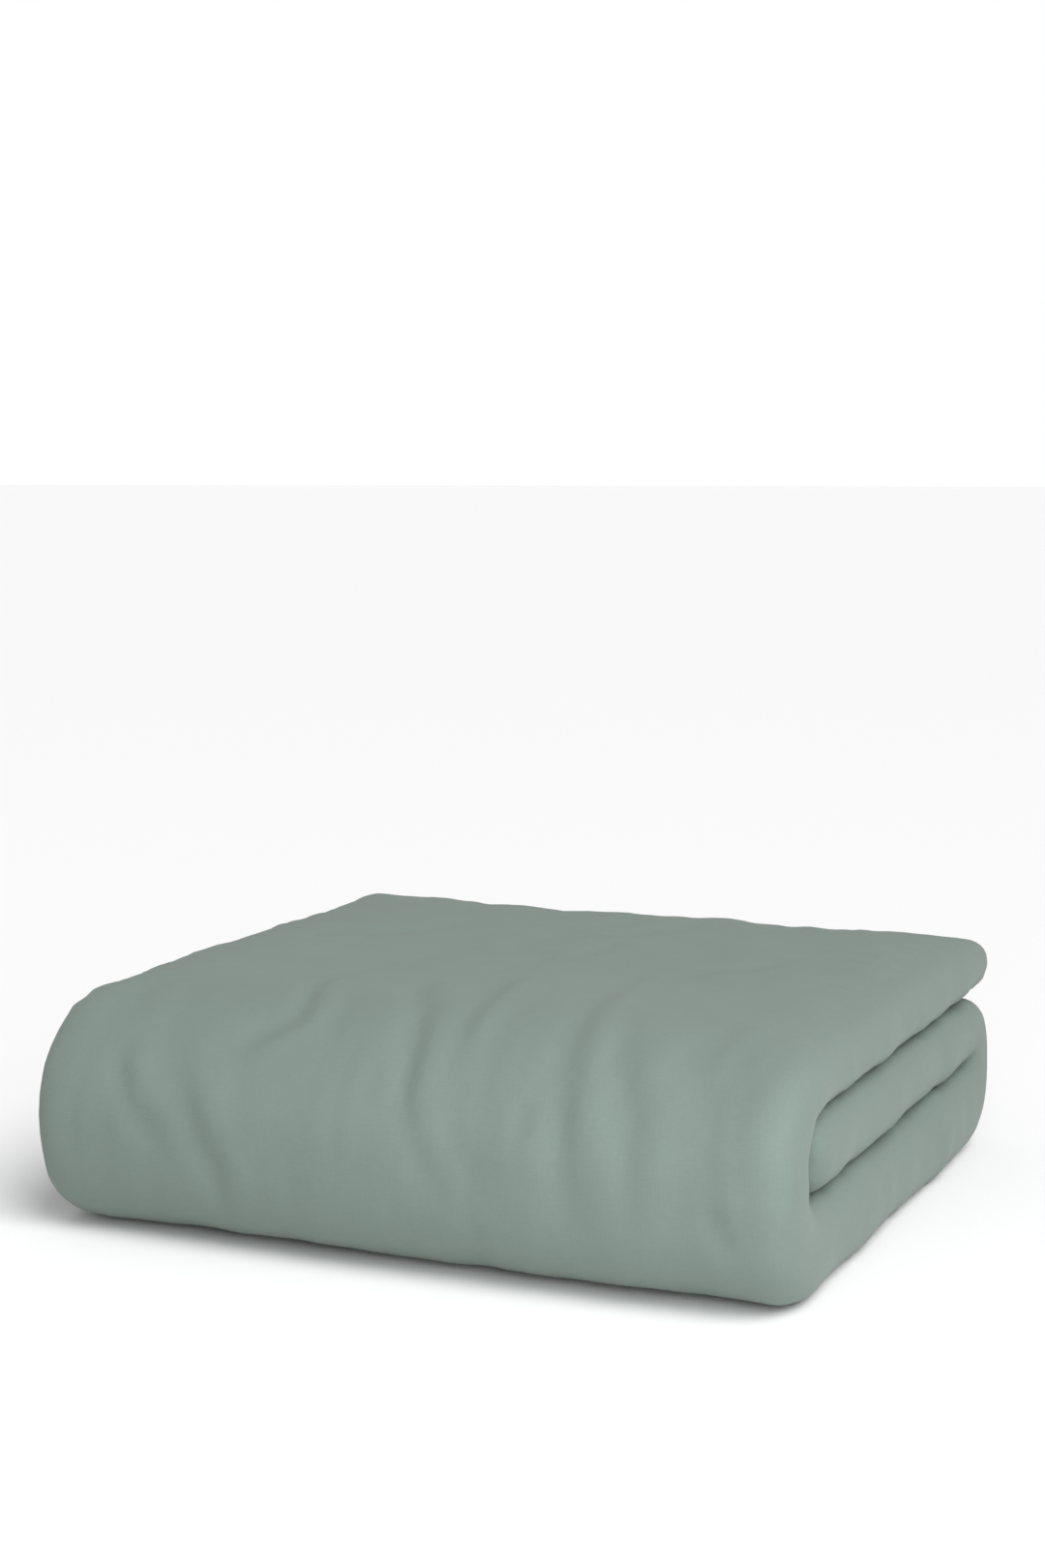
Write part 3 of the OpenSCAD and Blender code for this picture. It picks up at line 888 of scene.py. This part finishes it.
class DUVET_OT_filling(bpy.types.Operator):
    """Makes the fibre filling, pinched between its chambers"""

    bl_idname = "duvet.filling"
    bl_label = "Filling"

    def execute(self, context):
        bag = inner_bag(0.018, 0.017, 0.0125, 0.0060, 0.026, 0.04, 0.0016)
        fibre = loose_fibre("carded fibre", colors().filling)
        flat_leaves = ("middle", "bottom", "top")
        make_pieces(bag, "filling", fibre, lambda part: (
            [f"fill_{part}_{ply}" for ply in ("outer", "inner")] if part in flat_leaves
            else [f"fill_{part}"]))
        return {"FINISHED"}


def settled_copy(name, node, material, inward=0.0):
    """A copy of a CAD node's surface, settled like the cloth round it, on the node's body."""
    cad = frame["nodes"][node]
    mesh = cad.data.copy()
    mesh.name = name
    points = np.array([cad.matrix_world @ v.co for v in mesh.vertices])
    points[:, 1] += inward * smooth((points[:, 0] - 0.20) / 0.06)
    mesh.vertices.foreach_set("co", settle(points, looks()).ravel())
    mesh.materials.clear()
    mesh.materials.append(material)
    mesh.update()
    obj = bpy.data.objects.new(name, mesh)
    bpy.context.collection.objects.link(obj)
    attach(obj, body_of(cad)[0])
    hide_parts(node)
    return obj


def dress(material, names):
    """Gives CAD nodes a finish in their objects' own slots."""
    for name in names:
        obj = frame["nodes"][name]
        if not obj.material_slots:
            obj.data.materials.append(None)
        for place in obj.material_slots:
            place.link = "OBJECT"
            place.material = material


# ---------------------------------------------------------------- foot closure


def button_places():
    """Middles of the buttons of one ply in X, and their Y."""
    low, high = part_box("buttons")
    wide = float(high[1] - low[1])
    return np.linspace(float(low[0]) + wide / 2, float(high[0]) - wide / 2, 3), float(low[1] + high[1]) / 2


def ripple(x, y):
    """Small waves of a hem between its buttons."""
    middles, _ = button_places()
    near = np.min(np.abs(x[..., None] - middles), axis=-1)
    return 0.0006 * np.sin(x / 0.021 + 2 * np.sin(x / 0.05)) * smooth((near - 0.012) / 0.03)


def hem_band(x0, x1, levels, outward):
    """A folded hem on one ply: a flat band with rounded edges. levels are the heights of its two faces."""
    nx, ny = round((x1 - x0) / 0.004), 12
    t = np.linspace(0, 1, ny)
    ys = HEM_TIP + (FOOT_END + 0.004 - HEM_TIP) * (0.5 - 0.5 * np.cos(t * math.pi))
    xs = np.linspace(x0, x1, nx)
    x, y = np.meshgrid(xs, ys, indexing="ij")
    edge = rounding((y - HEM_TIP) / 0.0012, 2.0) * rounding((x - x0) / 0.0012 + 0.05, 2.0)
    middle, half = (levels[0] + levels[1]) / 2, (levels[1] - levels[0]) / 2
    groove = 0.00035 * (np.exp(-(((y - HEM_TIP - 0.003) / 0.0008) ** 2))
                        + np.exp(-(((y - FOOT_END + 0.003) / 0.0008) ** 2)))
    wave = ripple(x, y) * outward
    top = middle + (half - groove) * edge + wave
    low = middle - (half - groove) * edge + wave
    n = nx * ny
    verts = np.concatenate([np.stack([x, y, z], -1).reshape(-1, 3) for z in (top, low)])
    index = np.arange(n).reshape(nx, ny)
    a, b, c, d = index[:-1, :-1], index[1:, :-1], index[1:, 1:], index[:-1, 1:]
    faces = np.stack([a, b, c, d], -1).reshape(-1, 4)
    faces = np.concatenate([faces, (faces + n)[:, ::-1]])
    loop = list(index[:, 0]) + list(index[-1, 1:]) + list(index[-2::-1, -1]) + list(index[0, -2:0:-1])
    ring = np.array([[loop[k], loop[k] + n, loop[(k + 1) % len(loop)] + n, loop[(k + 1) % len(loop)]]
                     for k in range(len(loop))])
    return verts, np.concatenate([faces, ring])


def from_arrays(name, parts, material):
    """One object from several (vertices, faces) pairs. Its cloth coordinates are X and Y."""
    verts, faces, base = [], [], 0
    for v, f in parts:
        verts.append(np.asarray(v, float))
        faces += [[int(i) + base for i in face] for face in f]
        base += len(v)
    verts = np.concatenate(verts)
    mesh = bpy.data.meshes.new(name)
    mesh.from_pydata(verts.tolist(), [], faces)
    mesh.update()
    mesh.polygons.foreach_set("use_smooth", [True] * len(mesh.polygons))
    mesh.materials.append(material)
    obj = bpy.data.objects.new(name, mesh)
    bpy.context.scene.collection.objects.link(obj)
    return obj


def applied(obj):
    """obj with its modifiers applied."""
    bpy.context.view_layer.update()
    graph = bpy.context.evaluated_depsgraph_get()
    mesh = bpy.data.meshes.new_from_object(obj.evaluated_get(graph))
    obj.modifiers.clear()
    old = obj.data
    obj.data = mesh
    bpy.data.meshes.remove(old)
    return obj


def slot_prism(x, y, z0, z1, half_length, half_width):
    """A stadium-shaped prism that cuts one buttonhole."""
    ring = []
    straight = half_length - half_width
    for k in range(20):
        a = math.pi * (k / 9 if k < 10 else (k - 1) / 9) - math.pi / 2
        side = 1 if k < 10 else -1
        ring.append((x + side * straight + half_width * math.cos(a), y + half_width * math.sin(a)))
    verts = [(px, py, z) for z in (z0, z1) for px, py in ring]
    n = len(ring)
    faces = [list(range(n))[::-1], list(range(n, 2 * n))]
    faces += [[k, (k + 1) % n, (k + 1) % n + n, k + n] for k in range(n)]
    return verts, faces


def stitch(centre, along, up, length, radius):
    """One raised stitch: a short rounded bar that dips at both ends."""
    along, up = np.array(along, float), np.array(up, float)
    across = np.cross(up, along)
    verts = []
    rings = 5
    for k in range(rings):
        t = -1 + 2 * k / (rings - 1)
        r = radius * math.sqrt(max(0.08, 1 - t**2 * 0.9))
        lift = -radius * 0.9 * t * t
        for m in range(6):
            a = 2 * math.pi * m / 6
            verts.append(np.array(centre) + along * t * length / 2 + up * lift
                         + r * (across * math.cos(a) + up * math.sin(a)))
    faces = [[k * 6 + m, k * 6 + (m + 1) % 6, k * 6 + 6 + (m + 1) % 6, k * 6 + 6 + m]
             for k in range(rings - 1) for m in range(6)]
    faces += [[5, 4, 3, 2, 1, 0], [rings * 6 - 6 + m for m in range(6)]]
    return verts, faces


class DUVET_OT_foot_closure(bpy.types.Operator):
    """Makes the two hems with their buttonholes and stitching, and finishes the buttons and threads"""

    bl_idname = "duvet.foot_closure"
    bl_label = "Foot closure"

    def execute(self, context):
        tints = colors()
        x0, x1 = MOUTH_X, EAR_FROM + 0.026
        thick = PACK_H / 2 + PLY_MID
        level = float(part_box("hem_front")[1][2]) - thick
        cotton = woven("hem cotton", tints.cover, by_cloth=False)
        middles, hole_y = button_places()
        half_l, half_w = 0.0088, 0.0020
        front, back, cutters = [], [], []
        for up in (1, -1):
            mid = PACK_H / 2 + up * PLY_MID
            front.append(hem_band(x0, x1, sorted([mid + up * 0.0002, mid + up * level]), up))
            back.append(hem_band(x0, x1, sorted([mid - up * 0.0002, mid - up * level]), up))
            for x in middles:
                heights = sorted([mid, mid + up * 0.004])
                cutters.append(slot_prism(x, hole_y, *heights, half_l, half_w))
        front_obj = from_arrays("hem_front_band", front, cotton)
        back_obj = from_arrays("hem_back_band", back, cotton)
        cutter = from_arrays("buttonhole_cutter", cutters, cotton)
        cut = front_obj.modifiers.new("buttonholes", "BOOLEAN")
        cut.object, cut.operation, cut.solver = cutter, "DIFFERENCE", "EXACT"
        applied(front_obj)
        bpy.data.objects.remove(cutter)
        for obj in (front_obj, back_obj):
            obj.data.polygons.foreach_set("use_smooth", [False] * len(obj.data.polygons))
            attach(obj, BASE)
        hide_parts("hem_front")
        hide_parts("hem_back")
        thread = woven("sewing thread", [c * 0.8 for c in tints.cover], pitch=0.0005, by_cloth=False)
        rows, satin = [], []
        for up in (1, -1):
            face = PACK_H / 2 + up * (PLY_MID + level)
            for y in (HEM_TIP + 0.003, FOOT_END - 0.003):
                for x in np.arange(x0 + 0.003, x1 - 0.004, 0.0032):
                    z = face + float(ripple(np.array([x]), y)[0]) * up - up * 0.0002
                    rows.append(stitch((x, y, z), (1, 0, 0), (0, 0, up), 0.0024, 0.00026))
            for middle in middles:
                count = 56
                for k in range(count):
                    a = 2 * math.pi * k / count
                    straight = half_l - half_w
                    cx = middle + straight * max(-1, min(1, 1.9 * math.cos(a)))
                    ex = cx + (half_w + 0.0007) * math.cos(a) * (abs(math.cos(a)) > 0.53)
                    ey = hole_y + (half_w + 0.0007) * (math.sin(a) if abs(math.cos(a)) > 0.53
                                                       else math.copysign(1, math.sin(a)))
                    out = np.array([ex - cx, ey - hole_y, 0.0])
                    out /= np.linalg.norm(out)
                    satin.append(stitch((ex, ey, face), out, (0, 0, up), 0.0018, 0.00032))
        for name, parts in (("hem_stitches", rows), ("buttonhole_stitches", satin)):
            obj = from_arrays(name, parts, thread)
            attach(obj, BASE)
        dress(thread, ["button_threads"])
        dress(pearl_shell("button shell"), ["buttons"])
        return {"FINISHED"}


def pearl_shell(name):
    """Pale polished shell with faint growth bands."""
    material, nodes, links = new_material(name)
    source = nodes.new("ShaderNodeTexCoord")
    bands = stretched_noise(nodes, links, source.outputs["Object"], (60, 420, 200), 3.0)
    ramp = nodes.new("ShaderNodeValToRGB")
    links.new(bands, ramp.inputs[0])
    ramp.color_ramp.elements[0].position, ramp.color_ramp.elements[1].position = 0.35, 0.65
    ramp.color_ramp.elements[0].color = (0.62, 0.58, 0.49, 1)
    ramp.color_ramp.elements[1].color = (0.80, 0.77, 0.70, 1)
    shader = surface(nodes, links, {"Coat Weight": 0.4, "Coat Roughness": 0.12})
    links.new(ramp.outputs[0], shader.inputs["Base Color"])
    rough = math_node(nodes, links, "ADD", math_node(nodes, links, "MULTIPLY", bands, 0.15), 0.2)
    links.new(rough, shader.inputs["Roughness"])
    links.new(bump_normal(nodes, links, bands, 0.00008), shader.inputs["Normal"])
    return material


class DUVET_OT_corner_ties(bpy.types.Operator):
    """Finishes the ties and loops at the corners, and the blank care label"""

    bl_idname = "duvet.corner_ties"
    bl_label = "Corner ties and label"

    def execute(self, context):
        tints = colors()
        tie = woven("tie tape", tints.cover, pitch=0.0007, by_cloth=False)
        loop = woven("loop tape", tints.ticking, pitch=0.0007, by_cloth=False)
        label = woven("label satin", tints.filling, pitch=0.0004, slub=0.1, tone=0.01, bump=0.00005,
                      roughness=0.5, by_cloth=False)
        dress(tie, ["corner_ties_foot", "corner_ties_head"])
        dress(loop, ["corner_loops_foot", "corner_loops_head"])
        dress(label, ["care_label"])
        return {"FINISHED"}


class DUVET_OT_stage(bpy.types.Operator):
    """Makes the floor, the soft light and the camera"""

    bl_idname = "duvet.stage"
    bl_label = "Stage"

    def execute(self, context):
        scene = context.scene
        # floor
        mesh = bpy.data.meshes.new("floor")
        r = 150.0
        mesh.from_pydata([(-r, -r, 0), (r, -r, 0), (r, r, 0), (-r, r, 0)], [], [(0, 1, 2, 3)])
        floor = bpy.data.objects.new("floor", mesh)
        floor.location.z = -0.0004
        mesh.materials.append(pale_floor("floor", colors().floor))
        scene.collection.objects.link(floor)
        floor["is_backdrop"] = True
        # light
        world = bpy.data.worlds.new("studio")
        world.use_nodes = True
        backdrop = world.node_tree.nodes["Background"]
        backdrop.inputs[0].default_value = (1, 1, 1, 1)
        backdrop.inputs[1].default_value = 0.5
        shown = world.node_tree.nodes.new("ShaderNodeBackground")
        shown.inputs[0].default_value = (1, 1, 1, 1)
        path = world.node_tree.nodes.new("ShaderNodeLightPath")
        either = world.node_tree.nodes.new("ShaderNodeMixShader")
        link = world.node_tree.links.new
        link(path.outputs["Is Camera Ray"], either.inputs[0])
        link(backdrop.outputs[0], either.inputs[1])
        link(shown.outputs[0], either.inputs[2])
        link(either.outputs[0], world.node_tree.nodes["World Output"].inputs[0])
        scene.world = world
        light = bpy.data.lights.new("soft_key", "SUN")
        light.energy = 2.3
        light.angle = 0.7
        lamp = bpy.data.objects.new("soft_key", light)
        lamp.rotation_euler = Vector((-0.55, 0.30, -0.78)).to_track_quat("-Z", "Y").to_euler()
        scene.collection.objects.link(lamp)
        light = bpy.data.lights.new("side_fill", "AREA")
        light.shape, light.size, light.energy = "DISK", 0.7, 8.0
        lamp = bpy.data.objects.new("side_fill", light)
        lamp.location = (0.8, -1.35, 0.55)
        lamp.rotation_euler = (Vector((0.1, -0.1, 0.1)) - lamp.location).to_track_quat("-Z", "Y").to_euler()
        scene.collection.objects.link(lamp)
        # camera: 57.8 mm lens, 2.5 m away, 24 degrees round to the fold's side and 7 degrees down
        turn, tilt, away = math.radians(23.9), math.radians(7.0), 2.521
        across = Vector((math.cos(turn), math.sin(turn), 0))
        ahead = Vector((-math.sin(turn) * math.cos(tilt), math.cos(turn) * math.cos(tilt), -math.sin(tilt)))
        up = across.cross(ahead)
        centre = Vector((0, 0, PACK_H / 2))
        place = centre - ahead * away - across * 0.0184 + up * 0.289
        camera = bpy.data.cameras.new("camera")
        camera.lens = 57.8
        camera.sensor_width = 36
        camera.clip_end = 400
        cam = bpy.data.objects.new("camera", camera)
        cam.matrix_world = Matrix((
            (across.x, up.x, -ahead.x, place.x),
            (across.y, up.y, -ahead.y, place.y),
            (across.z, up.z, -ahead.z, place.z),
            (0, 0, 0, 1)))
        scene.collection.objects.link(cam)
        scene.camera = cam
        scene.view_settings.view_transform = "Standard"
        return {"FINISHED"}


CLASSES = [DuvetSizes, DuvetColors, DUVET_OT_cover, DUVET_OT_insert, DUVET_OT_filling,
           DUVET_OT_foot_closure, DUVET_OT_corner_ties, DUVET_OT_stage]
STEPS = ["cover", "insert", "filling", "foot_closure", "corner_ties", "stage"]


class DUVET_PT_panel(bpy.types.Panel):
    """Lists the duvet's pieces and settings"""

    bl_label = "Duvet"
    bl_idname = "DUVET_PT_panel"
    bl_space_type = "VIEW_3D"
    bl_region_type = "UI"
    bl_category = "Duvet"

    def draw(self, context):
        column = self.layout.column()
        for group in (context.scene.duvet_sizes, context.scene.duvet_colors):
            for key in group.__annotations__:
                column.prop(group, key)
        for step in STEPS:
            column.operator(f"duvet.{step}")


def register():
    for cls in CLASSES + [DUVET_PT_panel]:
        bpy.utils.register_class(cls)
    bpy.types.Scene.duvet_sizes = PointerProperty(type=DuvetSizes)
    bpy.types.Scene.duvet_colors = PointerProperty(type=DuvetColors)


def unregister():
    del bpy.types.Scene.duvet_colors
    del bpy.types.Scene.duvet_sizes
    for cls in reversed(CLASSES + [DUVET_PT_panel]):
        bpy.utils.unregister_class(cls)


def main():
    register()
    for step in STEPS:
        getattr(bpy.ops.duvet, step)()


if __name__ == "__main__":
    main()
